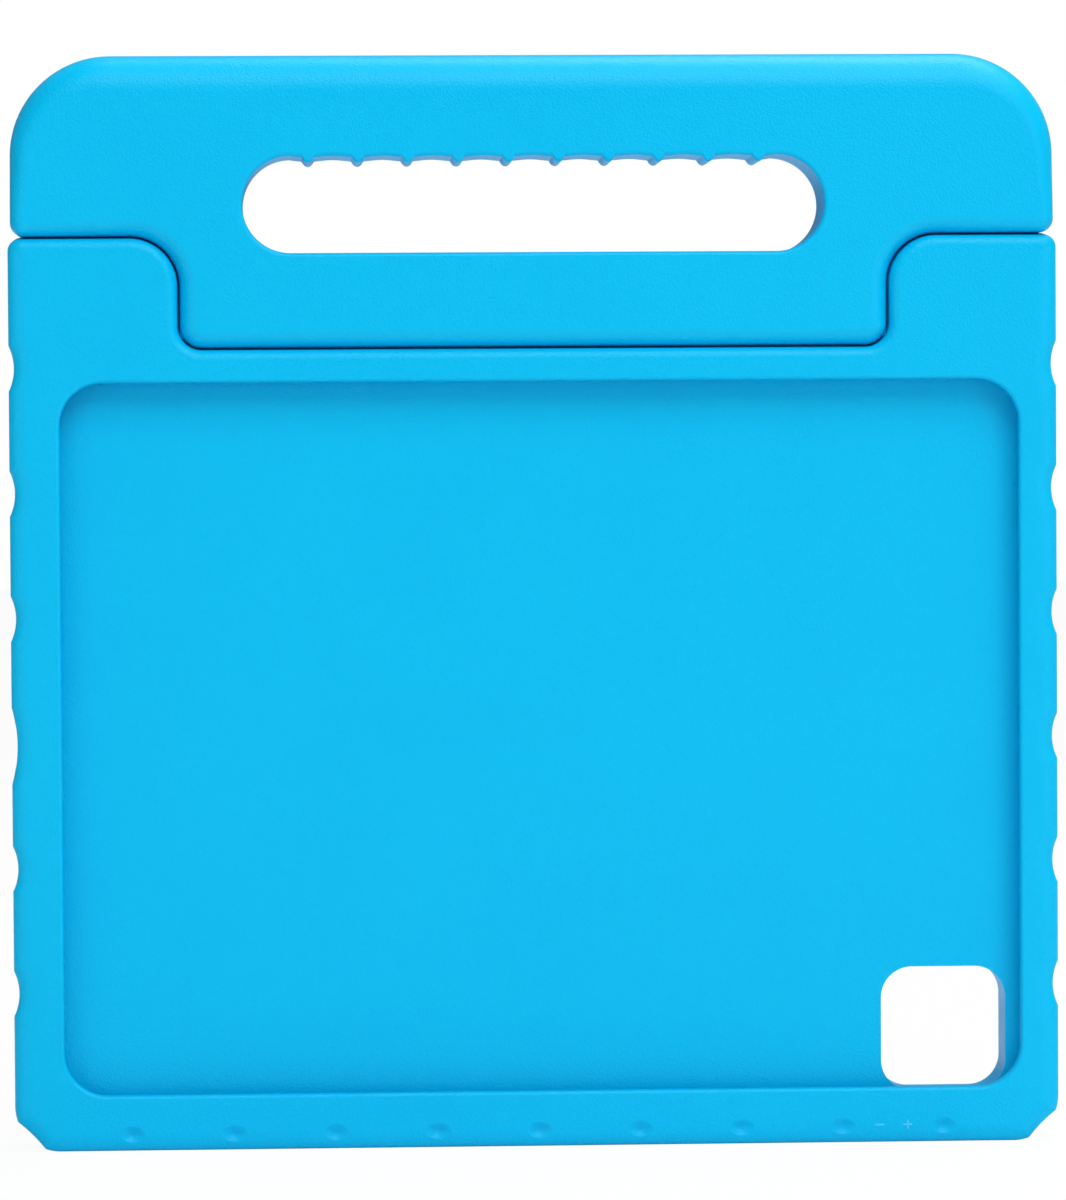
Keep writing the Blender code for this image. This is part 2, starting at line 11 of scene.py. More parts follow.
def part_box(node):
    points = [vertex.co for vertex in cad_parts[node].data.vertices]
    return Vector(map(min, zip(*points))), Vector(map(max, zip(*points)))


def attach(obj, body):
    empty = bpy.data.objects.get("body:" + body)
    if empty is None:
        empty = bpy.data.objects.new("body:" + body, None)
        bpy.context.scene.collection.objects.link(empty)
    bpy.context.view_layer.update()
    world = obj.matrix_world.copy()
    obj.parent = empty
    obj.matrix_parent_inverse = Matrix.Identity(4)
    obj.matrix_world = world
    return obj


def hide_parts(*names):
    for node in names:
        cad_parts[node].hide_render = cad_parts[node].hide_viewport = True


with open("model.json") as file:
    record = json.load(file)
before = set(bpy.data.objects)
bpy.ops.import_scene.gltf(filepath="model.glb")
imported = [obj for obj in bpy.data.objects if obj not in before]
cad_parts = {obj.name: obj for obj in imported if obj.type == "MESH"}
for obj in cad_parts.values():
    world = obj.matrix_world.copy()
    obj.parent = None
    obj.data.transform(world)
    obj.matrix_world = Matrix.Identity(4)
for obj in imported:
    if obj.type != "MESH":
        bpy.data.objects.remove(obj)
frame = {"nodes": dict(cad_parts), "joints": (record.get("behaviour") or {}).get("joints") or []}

bl_info = {
    "name": "Kids tablet case",
    "version": (1, 0, 0),
    "blender": (4, 5, 0),
    "location": "View3D > Sidebar > Tablet Case",
    "description": "Adds the foam case, its hinged handle and the studio round the packed model",
    "category": "Object",
}

MM = 0.001
BODY_LOW, BODY_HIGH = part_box("case_body")
HANDLE_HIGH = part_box("carry_handle")[1]
INSERT_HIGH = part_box("pivot_insert_right")[1]
BOLT_LOW, BOLT_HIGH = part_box("pivot_bolt_right")
HINGE = Vector(frame["joints"][0]["pos_m"])
HALF_DEPTH = BODY_HIGH[1]
BODY_HALF = -BODY_LOW[0]
PHOTO_WIDTH, PHOTO_HEIGHT = 1066, 1200

ARC_STEP = math.radians(4)
SHARP_ANGLE = math.radians(32)
RIM_STEPS = 8
HANDLE_RIM_STEPS = 14
HANDLE_SIDE_STEPS = 12
PAD_RIM_STEPS = 4
SWELL_STEPS = 4
MOUTH_STEPS = 4
HOLLOW_STEPS = 16
CORNER_STEPS = 5
EAR_CORNER_STEPS = 10
HEAD_ROUND_STEPS = 10
TURN_STEPS = 96
SCOOP_RINGS = 12
SCOOP_STEPS = 48
CEILING_STEP = 0.35 * MM
RIDGE_BLUNTNESS = 0.75
EAR_DOME_SHARE = 0.75
OVERCUT = 5 * MM
LEAST_RADIUS = 0.05 * MM
SIDES = ((-1, "left"), (1, "right"))

FLOOR_HALF = 6.0
FLOOR_WHITENESS = 0.95
NOISE_DETAIL = 2.0

# Each lamp's name, place and size in metres, and the studio property with its power.
LAMPS = (
    ("overhead_softbox", (0.5, -1.7, 2.2), (1.8, 1.8), "top"),
    ("crown_softbox", (0.5, 0.3, 1.7), (1.6, 0.7), "crown"),
    ("left_softbox", (-1.5, -1.9, 0.25), (1.0, 1.2), "front"),
    ("right_softbox", (1.5, -1.9, 0.25), (1.0, 1.2), "front"),
)


def length(name, description, millimetres):
    """A size property, given in millimetres and kept in metres."""
    return bpy.props.FloatProperty(
        name=name, description=description, default=millimetres * MM, min=0, precision=5, unit="LENGTH"
    )


def amount(name, description, default):
    """A plain number property."""
    return bpy.props.FloatProperty(name=name, description=description, default=default)


def rotation(name, description, degrees):
    """An angle property, given in degrees and kept in radians."""
    return bpy.props.FloatProperty(
        name=name, description=description, default=math.radians(degrees), subtype="ANGLE"
    )


def count(name, description, default):
    """A whole number property."""
    return bpy.props.IntProperty(name=name, description=description, default=default, min=1)


def colour(name, description, default):
    """A colour property."""
    return bpy.props.FloatVectorProperty(
        name=name, description=description, default=default, size=3, min=0, max=1, subtype="COLOR"
    )


class BodySizes(bpy.types.PropertyGroup):
    """Sizes of the foam body."""

    flank_wall: length("Flank wall", "Foam between the pocket and a flank", 8.7)
    sill: length("Sill", "Foam under the pocket", 8.0)
    lintel: length("Lintel", "Foam between the pocket and the trough", 4.4)
    front_lip: length("Front lip", "Foam in front of the pocket", 2.8)
    pocket_depth: length("Pocket depth", "Room for the device, front to back", 5.6)
    pocket_corner: length("Pocket corner", "Radius of the pocket's corners", 14.0)
    foot_corner: length("Foot corner", "Radius of the two bottom corners", 13.0)
    rim: length("Rim", "How deep the outer edges are rounded", 3.0)
    flank_reach: length("Flank reach", "Reach of the rounding at foot and flanks", 5.5)
    seam_reach: length("Seam reach", "Reach of the rounding beside the seam", 3.0)
    swell: length("Seam swell", "Foam's swell into the seam, behind its front edge", 0.62)
    swell_start: length("Swell start", "Depth where the swell begins", 4.5)
    window_length: length("Window length", "Length of the screen window", 274.4)
    window_height: length("Window height", "Height of the screen window", 203.6)
    window_shift: length("Window shift", "Window's shift to the right", 1.6)
    window_sill: length("Window sill", "Height of the window's lower edge", 16.0)
    window_corner: length("Window corner", "Radius of the window's corners", 12.3)
    window_rim: length("Window rim", "Rounding of the window's edge", 1.2)
    scoop_count: count("Scoops", "Scoops along the bottom edge, front and back", 9)
    scoop_pitch: length("Scoop pitch", "Distance between scoops", 29.1)
    scoop_width: length("Scoop width", "Width of a scoop", 9.0)
    scoop_height: length("Scoop height", "Height of a scoop", 6.4)
    scoop_middle: length("Scoop middle", "Height of a scoop's middle", 4.6)
    scoop_bite: length("Scoop bite", "Depth of a scoop", 1.5)


class GrooveSizes(bpy.types.PropertyGroup):
    """Sizes of the grip grooves in the flanks and corners."""

    number: count("Grooves", "Grip grooves in each flank", 6)
    pitch: length("Groove pitch", "Distance between grooves", 35.7)
    first: length("First groove", "Height of the lowest groove", 45.4)
    length: length("Groove length", "Length of a groove", 13.0)
    depth: length("Groove depth", "Depth of a groove", 1.5)
    corner_length: length("Corner groove length", "Length of the groove in a foot corner", 11.0)
    corner_depth: length("Corner groove depth", "Depth of the groove in a foot corner", 0.35)
    mouth: length("Groove mouth", "Rounding of a groove's ends", 1.2)
    port_length: length("Port groove length", "Length of the groove at the charging port", 22.0)


class OpeningSizes(bpy.types.PropertyGroup):
    """Sizes of the openings for port, speakers, camera and buttons."""

    port_length: length("Port length", "Length of the port opening", 16.0)
    port_width: length("Port width", "Width of the port opening", 6.5)
    speaker_length: length("Speaker length", "Length of a speaker opening", 24.0)
    speaker_width: length("Speaker width", "Width of a speaker opening", 3.4)
    camera_side: length("Camera side", "Side of the camera opening", 36.0)
    camera_corner: length("Camera corner", "Corner radius of the camera opening", 9.0)
    camera_inset: length("Camera inset", "From the pocket's corner to the opening's middle", 24.0)
    camera_rim: length("Camera rim", "Rounding of the camera opening at the back", 3.0)
    button_width: length("Button width", "Width of a button pad", 3.4)
    button_recess: length("Button recess", "Depth of the recess round a pad", 1.2)
    button_height: length("Button height", "Height of a pad in its recess", 0.8)
    button_margin: length("Button margin", "Recess showing round a pad", 1.0)
    volume_length: length("Volume length", "Length of a volume pad", 6.5)
    volume_pitch: length("Volume pitch", "Distance between the volume pads", 8.1)
    volume_inset: length("Volume inset", "From the pocket's corner to the volume pads", 39.4)
    power_length: length("Power length", "Length of the power pad", 12.0)
    power_inset: length("Power inset", "From the pocket's corner to the power pad", 18.0)
    mark_arm: length("Mark arm", "Half the length of a mark's bar", 1.3)
    mark_half_width: length("Mark half width", "Half the width of a mark's bar", 0.28)
    mark_rise: length("Mark rise", "How far a mark stands out", 0.22)
    mark_height: length("Mark height", "Height of the marks above the foot", 5.3)


class HingeSizes(bpy.types.PropertyGroup):
    """Sizes round the hinge."""

    seam: length("Seam", "Gap between the two mouldings", 0.65)
    barrel: length("Barrel", "Radius of the handle's tab about the hinge", 13.25)
    ear_width: length("Ear width", "Width of an ear", 48.1)
    ear_rise: length("Ear rise", "Height of an ear above the axis", 18.0)
    ear_arc: length("Ear arc", "Radius of an ear's inner shoulder", 13.6)
    ear_corner: length("Ear corner", "Radius of an ear's outer corner", 3.5)
    tab_fillet: length("Tab fillet", "Radius at the foot of the trough", 7.0)
    swing: rotation("Swing", "How far the handle turns", 105)
    swing_ease: length("Swing ease", "Step between an ear and its domed back", 0.3)
    bolt: length("Bolt", "Radius of a bolt's shank", 3.0)
    bolt_gap: length("Bolt gap", "Gap round a bolt's shank", 0.3)
    head: length("Head", "Radius of a bolt's head", 7.5)
    head_height: length("Head height", "Height of a bolt's head", 3.0)
    head_sunk: length("Head sunk", "How far a head sits below the flank", 0.8)
    head_gap: length("Head gap", "Gap round a bolt's head", 0.5)
    head_round: length("Head round", "Rounding of a head's edge", 1.0)
    slot_length: length("Slot length", "Length of the slot in a head", 9.0)
    slot_width: length("Slot width", "Width of the slot in a head", 1.6)
    slot_depth: length("Slot depth", "Depth of the slot in a head", 1.2)
    insert: length("Insert", "Radius of a threaded insert", 5.4)
    fit_gap: length("Fit gap", "Gap round inserts and under heads", 0.3)
    bolt_room: length("Bolt room", "Room past the end of a bolt", 0.5)


class HandleSizes(bpy.types.PropertyGroup):
    """Sizes of the foam handle."""

    corner: length("Handle corner", "Radius of the two top corners", 28.7)
    seam_corner: length("Seam corner", "Radius of the corners above the ears", 4.0)
    grip_rim: length("Grip rim", "Rounding of the grip's top", 11.0)
    side_rim: length("Side rim", "Rounding of the handle's sides", 6.0)
    seam_rim: length("Seam rim", "Rounding beside the seam", 5.0)
    corner_rim: length("Corner rim", "Rounding at the corners above the ears", 3.8)
    slot_floor: length("Slot floor", "Height of the hand slot's floor above the axis", 13.6)
    slot_length: length("Hand slot length", "Length of the hand slot", 166.4)
    slot_height: length("Hand slot height", "Height of the hand slot", 27.6)
    slot_rim: length("Slot rim", "Rounding of the hand slot's edge", 1.3)
    ridge_count: count("Ridges", "Finger ridges in the slot's ceiling", 10)
    ridge_pitch: length("Ridge pitch", "Distance between ridges", 14.3)
    ridge_depth: length("Ridge depth", "How far a ridge stands out", 1.5)
    ridge_half_width: length("Ridge half width", "Half the width of a ridge", 1.7)
    ridge_sag: length("Ridge sag", "How far the ceiling drops beside a ridge", 0.5)


class FoamLook(bpy.types.PropertyGroup):
    """Colours and grain of the mouldings."""

    foam: colour("Foam", "Colour of the foam", (0.0, 0.515, 0.865))
    foam_deep: colour("Deep foam", "Colour of the foam's darker clouds", (0.0, 0.48, 0.84))
    plastic: colour("Plastic", "Colour of bolts and inserts", (0.001, 0.30, 0.60))
    mark: colour("Marks", "Colour of the raised marks", (0.06, 0.62, 0.95))
    pebble: length("Pebble", "Size of the foam's moulded grain", 0.6)
    pore: length("Pore", "Size of the foam's fine pores", 0.3)
    cloud: length("Cloud", "Size of the colour's clouds", 45.0)
    relief: length("Relief", "Height of the moulded grain", 0.18)
    gloss: amount("Gloss", "Strength of the foam's reflections", 0.13)
    roughness: amount("Roughness", "Least roughness of the foam", 0.25)
    cloud_roughness: amount("Cloud roughness", "Roughness that the clouds add", 0.04)
    pebble_roughness: amount("Pebble roughness", "Roughness that the grain adds", 0.06)


class StudioLook(bpy.types.PropertyGroup):
    """Camera, lamps and background."""

    azimuth: rotation("Azimuth", "Camera's turn", -2.53)
    elevation: rotation("Elevation", "Camera's rise", 1.69)
    roll: rotation("Roll", "Camera's roll", -0.356)
    distance: length("Distance", "From the camera to the case", 1550)
    target: bpy.props.FloatVectorProperty(
        name="Target", description="Point in the middle", default=(-0.0004, 0, 0.1566), subtype="XYZ"
    )
    scale: amount("Scale", "Pixels for a millimetre at the target", 3.468)
    fill: amount("Fill", "Strength of the even light from all round", 0.2)
    front: amount("Front", "Watts of each front softbox", 6.4)
    top: amount("Top", "Watts of the overhead softbox", 47.0)
    crown: amount("Crown", "Watts of the softbox above and behind", 18.0)


def arc_steps(start, end):
    """How many steps an arc between two angles in degrees is drawn with."""
    return max(2, round(abs(math.radians(end - start)) / ARC_STEP))


def arc(centre, radii, start, end, steps=None):
    """Points of an arc from one angle in degrees to another. The radius may change along it."""
    first, last = radii if isinstance(radii, tuple) else (radii, radii)
    steps = steps or arc_steps(start, end)
    points = []
    for step in range(steps + 1):
        angle = math.radians(start + (end - start) * step / steps)
        radius = first + (last - first) * step / steps
        points.append((centre[0] + radius * math.cos(angle), centre[1] + radius * math.sin(angle)))
    return points


def rounded_rectangle(size, corner=None, middle=(0, 0)):
    """Outline of a rectangle with round corners, or with round ends when no corner is given."""
    corner = corner or min(size) / 2 - LEAST_RADIUS
    points = []
    for side, top, start in ((1, -1, -90), (1, 1, 0), (-1, 1, 90), (-1, -1, 180)):
        centre = (middle[0] + side * (size[0] / 2 - corner), middle[1] + top * (size[1] / 2 - corner))
        points += arc(centre, corner, start, start + 90)
    return points


def inward_vectors(outline):
    """Mitred inward vectors at the points of a closed outline that runs counterclockwise."""
    vectors = []
    for i, (x, z) in enumerate(outline):
        before = outline[i - 1]
        after = outline[(i + 1) % len(outline)]
        first = math.atan2(z - before[1], x - before[0])
        second = math.atan2(after[1] - z, after[0] - x)
        turn = (second - first + math.pi) % (2 * math.pi) - math.pi
        direction = first + turn / 2 + math.pi / 2
        mitre = 1 / math.cos(turn / 2)
        vectors.append((mitre * math.cos(direction), mitre * math.sin(direction)))
    return vectors


def eased(share):
    """A share from 0 to 1 that starts and ends slowly."""
    return share * share * (3 - 2 * share)


def quarter(steps=RIM_STEPS):
    """Share of the reach and share of the depth at each step round a rounded edge."""
    angles = [math.pi / 2 * step / steps for step in range(steps + 1)]
    return [(1 - math.cos(angle), 1 - math.sin(angle)) for angle in angles]


def flat_ring(outline, depth):
    """An outline at one depth."""
    return [(x, depth, z) for x, z in outline]


def flare(outline, rim, face, towards, vectors=None):
    """Rings of a cutter that opens out at a face, so that the cut edge is round, and runs on past it."""
    vectors = vectors or inward_vectors(outline)
    rings = []
    for reach, depth in quarter():
        shift = rim * reach
        ring = [(x - shift * dx, z - shift * dz) for (x, z), (dx, dz) in zip(outline, vectors)]
        rings.append(flat_ring(ring, face - towards * rim * depth))
    rings.append([(x, face + towards * OVERCUT, z) for x, _, z in rings[-1]])
    return rings


def new_object(name, shape):
    """An object for a bmesh."""
    bmesh.ops.recalc_face_normals(shape, faces=shape.faces)
    mesh = bpy.data.meshes.new(name)
    shape.to_mesh(mesh)
    shape.free()
    piece = bpy.data.objects.new(name, mesh)
    bpy.context.scene.collection.objects.link(piece)
    return piece


def loft(name, rings):
    """A solid through rings of equally many points, with a flat cap at each end."""
    shape = bmesh.new()
    rows = [[shape.verts.new(point) for point in ring] for ring in rings]
    size = len(rows[0])
    for row, following in zip(rows, rows[1:]):
        for i in range(size):
            j = (i + 1) % size
            shape.faces.new((row[i], row[j], following[j], following[i]))
    shape.faces.new(rows[0])
    shape.faces.new(rows[-1])
    return new_object(name, shape)


def turned(name, profile, side=1, roll=0.0):
    """A profile of radius and distance along X, turned about the hinge axis, to the right or left.

    A roll, in facets, keeps the facets of two forms on one axis from lying in line.
    """
    shape = bmesh.new()
    rows = []
    for radius, along in profile:
        if radius < LEAST_RADIUS:
            rows.append([shape.verts.new((side * along, HINGE.y, HINGE.z))])
            continue
        row = []
        for step in range(TURN_STEPS):
            angle = (step + roll) * 2 * math.pi / TURN_STEPS
            spot = (side * along, HINGE.y + radius * math.cos(angle), HINGE.z + radius * math.sin(angle))
            row.append(shape.verts.new(spot))
        rows.append(row)
    for row, following in zip(rows, rows[1:]):
        for i in range(TURN_STEPS):
            j = (i + 1) % TURN_STEPS
            corners = [row[i % len(row)], row[j % len(row)]]
            corners += [following[j % len(following)], following[i % len(following)]]
            shape.faces.new(list(dict.fromkeys(corners)))
    return new_object(name, shape)


def prism(name, section, start, end):
    """A solid with this outline in Y and Z, relative to the hinge axis, from one X to another."""
    rings = [[(x, HINGE.y + y, HINGE.z + z) for y, z in section] for x in (start, end)]
    return loft(name, rings)


def combine(piece, others, operation="DIFFERENCE"):
    """Cut other objects out of a piece, or join them on, and remove them."""
    for other in others:
        boolean = piece.modifiers.new(other.name, "BOOLEAN")
        boolean.operation = operation
        boolean.object = other
    graph = bpy.context.evaluated_depsgraph_get()
    result = bpy.data.meshes.new_from_object(piece.evaluated_get(graph))
    plain = piece.data
    piece.modifiers.clear()
    piece.data = result
    bpy.data.meshes.remove(plain)
    for other in others:
        mesh = other.data
        bpy.data.objects.remove(other, do_unlink=True)
        bpy.data.meshes.remove(mesh)


def dress(piece, material, body):
    """Shade a finished piece, give it its material and let it ride on its body."""
    if not piece.data.polygons:
        raise RuntimeError(f"{piece.name} has no faces")
    piece.data.materials.clear()
    piece.data.materials.append(material)
    piece.data.shade_smooth()
    piece.data.set_sharp_from_angle(angle=SHARP_ANGLE)
    weighted = piece.modifiers.new("weighted_normal", "WEIGHTED_NORMAL")
    weighted.keep_sharp = True
    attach(piece, body)


class Value:
    """A socket that varies over a surface. Arithmetic on it adds Math nodes."""

    def __init__(self, surface, socket):
        self.surface = surface
        self.socket = socket

    def math(self, operation, first, second):
        """The Math node's result for two values."""
        return self.surface.node("ShaderNodeMath", {"operation": operation}, {0: first, 1: second})

    def __add__(self, other):
        return self.math("ADD", self, other)

    def __radd__(self, other):
        return self.math("ADD", other, self)

    def __rmul__(self, other):
        return self.math("MULTIPLY", other, self)


class Surface:
    """A node material, or the world, being made."""

    def __init__(self, holder):
        holder.use_nodes = True
        self.tree = holder.node_tree

    def node(self, kind, settings=None, inputs=None, output=0):
        """Add a node, set it up, feed its sockets and return one of its outputs."""
        added = self.tree.nodes.new(kind)
        for name, value in (settings or {}).items():
            setattr(added, name, value)
        self.feed(added, inputs or {})
        return Value(self, added.outputs[output]) if added.outputs else added

    def feed(self, node, inputs):
        """Set a node's sockets, or link values to them."""
        for name, value in inputs.items():
            if isinstance(value, Value):
                self.tree.links.new(value.socket, node.inputs[name])
            else:
                node.inputs[name].default_value = value

    def mix(self, factor, first, second):
        """Mix two colours."""
        sockets = {0: factor, 6: first, 7: second}
        return self.node("ShaderNodeMix", {"data_type": "RGBA"}, sockets, output=2)

    def noise(self, size, detail=NOISE_DETAIL):
        """Noise whose features are about this size, in metres."""
        place = self.node("ShaderNodeTexCoord", output="Object")
        sockets = {"Vector": place, "Scale": 1 / size, "Detail": detail}
        return self.node("ShaderNodeTexNoise", {}, sockets)

    def bump(self, strength, distance, height):
        """A bump as high as this distance in metres."""
        sockets = {"Strength": strength, "Distance": distance, "Height": height}
        return self.node("ShaderNodeBump", {}, sockets)


def new_surface(name):
    """A new material, its surface and its Principled node."""
    material = bpy.data.materials.new(name)
    surface = Surface(material)
    return material, surface, surface.tree.nodes["Principled BSDF"]


def foam_material(look):
    """Closed-cell foam out of a mould: satin, with a fine pebble grain and faint clouds."""
    material, surface, shader = new_surface("moulded_foam")
    pebble = surface.noise(look.pebble)
    cloud = surface.noise(look.cloud)
    tint = surface.mix(cloud, (*look.foam_deep, 1), (*look.foam, 1))
    tint = surface.mix(0.2 * pebble, tint, (*look.foam_deep, 1))
    bump = surface.bump(1.0, look.relief, pebble)
    rough = look.roughness + look.cloud_roughness * cloud + look.pebble_roughness * pebble
    sockets = {"Base Color": tint, "Roughness": rough, "Normal": bump, "Specular IOR Level": look.gloss}
    surface.feed(shader, sockets)
    return material


def plastic_material(look):
    """Moulded plastic for bolts and inserts: smoother, with fine streaks round the turned faces."""
    material, surface, shader = new_surface("moulded_plastic")
    streak = surface.noise(2 * look.pebble, 2 * NOISE_DETAIL)
    pore = surface.noise(look.pore)
    deep = tuple(part * 0.85 for part in look.plastic)
    tint = surface.mix(streak, (*deep, 1), (*look.plastic, 1))
    bump = surface.bump(0.4, look.relief / 3, pore)
    surface.feed(shader, {"Base Color": tint, "Roughness": 0.3 + 0.15 * streak, "Normal": bump})
    return material


def mark_material(look):
    """The raised marks' foam, a little paler than the rest."""
    material, surface, shader = new_surface("raised_mark")
    pore = surface.noise(look.pore)
    tint = surface.mix(0.4 * pore, (*look.mark, 1), (*look.foam, 1))
    bump = surface.bump(0.4, look.relief / 2, pore)
    surface.feed(shader, {"Base Color": tint, "Roughness": 0.35 + 0.1 * pore, "Normal": bump})
    return material


def shared_material(name, make):
    """A material that more than one piece wears, made once."""
    return bpy.data.materials.get(name) or make(bpy.context.scene.foam_look)


def hollow_radius(chord, depth):
    """Radius of a round notch of this length and depth."""
    return (chord * chord / 4 + depth * depth) / (2 * depth)


def notch(origin, outward, mouth, start, hollow, radius, rounding, shift):
    """Points of a round notch with rounded ends, all moved inwards by the shift.

    Places are along the outward direction, in degrees, and across it. The mouth is the place of the
    first end's rounding, which begins at the start angle, and hollow is how far out the notch's centre is.
    """
    facing = math.radians(outward)
    turn = math.degrees(math.atan2(-mouth[1], hollow - mouth[0]))

    def spot(out, across):
        x = origin[0] + out * math.cos(facing) - across * math.sin(facing)
        z = origin[1] + out * math.sin(facing) + across * math.cos(facing)
        return (x, z)

    back = outward + 180
    soft = rounding - shift
    first = arc(spot(*mouth), soft, outward + start, outward + turn, MOUTH_STEPS)
    middle = arc(spot(hollow, 0), radius + shift, back + turn, back - turn, HOLLOW_STEPS)
    last = arc(spot(mouth[0], -mouth[1]), soft, outward - turn, outward - start, MOUTH_STEPS)
    return first[:-1] + middle + last[1:]


def flank_notch(height, chord, shift):
    """Points of one grip groove in the right flank."""
    sizes = bpy.context.scene.groove_sizes
    radius = hollow_radius(chord, sizes.depth)
    rounding = max(sizes.mouth, shift + LEAST_RADIUS)
    hollow = radius - sizes.depth
    across = math.sqrt((radius + rounding) ** 2 - (hollow + rounding) ** 2)
    mouth = (-rounding, -across)
    return notch((BODY_HALF, height), 0, mouth, 0, hollow, radius, rounding, shift)


def foot_corner(shift):
    """Points round the right bottom corner, with its groove."""
    sizes = bpy.context.scene.groove_sizes
    corner = bpy.context.scene.body_sizes.foot_corner
    radius = hollow_radius(sizes.corner_length, sizes.corner_depth)
    chord = math.sqrt(corner**2 - sizes.corner_length**2 / 4)
    hollow = chord - sizes.corner_depth + radius
    rounding = max(sizes.mouth, shift + LEAST_RADIUS)
    inner = corner - rounding
    spread = math.acos((hollow**2 + inner**2 - (radius + rounding) ** 2) / (2 * hollow * inner))
    mouth = (inner * math.cos(spread), -inner * math.sin(spread))
    start = -math.degrees(spread)
    centre = (BODY_HALF - corner, corner)
    points = arc(centre, corner - shift, -90, -45 + start, CORNER_STEPS)[:-1]
    points += notch(centre, -45, mouth, start, hollow, radius, rounding, shift)
    points += arc(centre, corner - shift, -45 - start, 0, CORNER_STEPS)[1:]
    return points


def ear_wall():
    """Half the width between the two ears."""
    return BODY_HALF - bpy.context.scene.hinge_sizes.ear_width


def trough_radius():
    """Radius of the trough that the handle's tab turns in."""
    sizes = bpy.context.scene.hinge_sizes
    return sizes.barrel + sizes.seam


def body_half(grooves, flank_in, seam_in):
    """The body's outline from the middle of its foot, up the right flank, to the middle of the trough.

    Foot and flank are moved inwards by one amount, and the edges beside the seam by another.
    """
    hinge = bpy.context.scene.hinge_sizes
    points = foot_corner(flank_in)
    for height, chord in grooves:
        points += flank_notch(height, chord, flank_in)
    corner = max(hinge.ear_corner, flank_in + LEAST_RADIUS)
    top = HINGE.z + hinge.ear_rise
    centre = (BODY_HALF - corner, top - corner)
    points += arc(centre, (corner - flank_in, corner - seam_in), 0, 90, EAR_CORNER_STEPS)
    shoulder = (ear_wall() + hinge.ear_arc, top - hinge.ear_arc)
    points += arc(shoulder, hinge.ear_arc - seam_in, 90, 180)
    foot = (ear_wall() - hinge.tab_fillet, HINGE.z - trough_radius() + hinge.tab_fillet)
    points += arc(foot, hinge.tab_fillet + seam_in, 0, -90)
    return points


def groove_heights():
    """Heights of the flank grooves."""
    sizes = bpy.context.scene.groove_sizes
    return [sizes.first + i * sizes.pitch for i in range(sizes.number)]


def pocket():
    """Length, height, middle height and depths of the device's pocket."""
    sizes = bpy.context.scene.body_sizes
    span = 2 * (BODY_HALF - sizes.flank_wall)
    top = HINGE.z - trough_radius() - sizes.lintel
    front = -HALF_DEPTH + sizes.front_lip
    return span, top - sizes.sill, (top + sizes.sill) / 2, front, front + sizes.pocket_depth


def body_ring(reach, depth, swell=0.0):
    """The body's whole outline, moved in by this share of its rounding, at this depth.

    The swell moves the edges beside the seam outwards.
    """
    sizes = bpy.context.scene.body_sizes
    grooves = bpy.context.scene.groove_sizes
    middle = pocket()[2]
    right = [(height, grooves.length) for height in groove_heights()]
    nearest = min(right, key=lambda groove: abs(groove[0] - middle))
    left = [(middle, grooves.port_length) if groove == nearest else groove for groove in right]
    shifts = (sizes.flank_reach * reach, sizes.seam_reach * reach - swell)
    outline = body_half(right, *shifts)
    outline += [(-x, z) for x, z in reversed(body_half(left, *shifts))]
    return flat_ring(outline, depth)


def body_blank():
    """The body with rounded edges, before anything is cut out of it."""
    sizes = bpy.context.scene.body_sizes
    rim = sizes.rim
    front = [body_ring(reach, rim * depth - HALF_DEPTH) for reach, depth in quarter()]
    swollen = []
    start = sizes.swell_start - HALF_DEPTH
    for step in range(SWELL_STEPS + 1):
        share = step / SWELL_STEPS
        swollen.append(body_ring(0, start * (1 - share / 2), sizes.swell * eased(share)))
    swollen.append(body_ring(0, 0, sizes.swell))
    back = [body_ring(reach, HALF_DEPTH - rim * depth) for reach, depth in quarter()]
    return loft("foam_body", front[::-1] + swollen + [body_ring(0, LEAST_RADIUS)] + back)


def window_cutter():
    """Cutter for the screen window and, behind its lip, the device's pocket."""
    sizes = bpy.context.scene.body_sizes
    span, height, middle, front, floor = pocket()
    window_middle = (sizes.window_shift, sizes.window_sill + sizes.window_height / 2)
    window_size = (sizes.window_length, sizes.window_height)
    window = rounded_rectangle(window_size, sizes.window_corner, window_middle)
    outline = rounded_rectangle((span, height), sizes.pocket_corner, (0, middle))
    rings = flare(window, sizes.window_rim, -HALF_DEPTH, -1)[::-1]
    rings += [flat_ring(window, front), flat_ring(outline, front), flat_ring(outline, floor)]
    return loft("window", rings)


def camera_cutter():
    """Cutter through the back wall for the rear camera, opening out at the back."""
    sizes = bpy.context.scene.opening_sizes
    span, _, _, front, floor = pocket()
    sill = bpy.context.scene.body_sizes.sill
    middle = (span / 2 - sizes.camera_inset, sill + sizes.camera_inset)
    outline = rounded_rectangle((sizes.camera_side,) * 2, sizes.camera_corner, middle)
    start = flat_ring(outline, (front + floor) / 2)
    return loft("camera", [start] + flare(outline, sizes.camera_rim, HALF_DEPTH, 1))


def flank_cutter(name, side, height, span, width):
    """Cutter through one flank into the pocket, with round ends."""
    _, _, _, front, floor = pocket()
    depth = (front + floor) / 2
    outline = rounded_rectangle((width, span), middle=(depth, height))
    inner = BODY_HALF - bpy.context.scene.body_sizes.flank_wall - OVERCUT
    rings = [[(side * x, y, z) for y, z in outline] for x in (inner, BODY_HALF + OVERCUT)]
    return loft(name, rings)


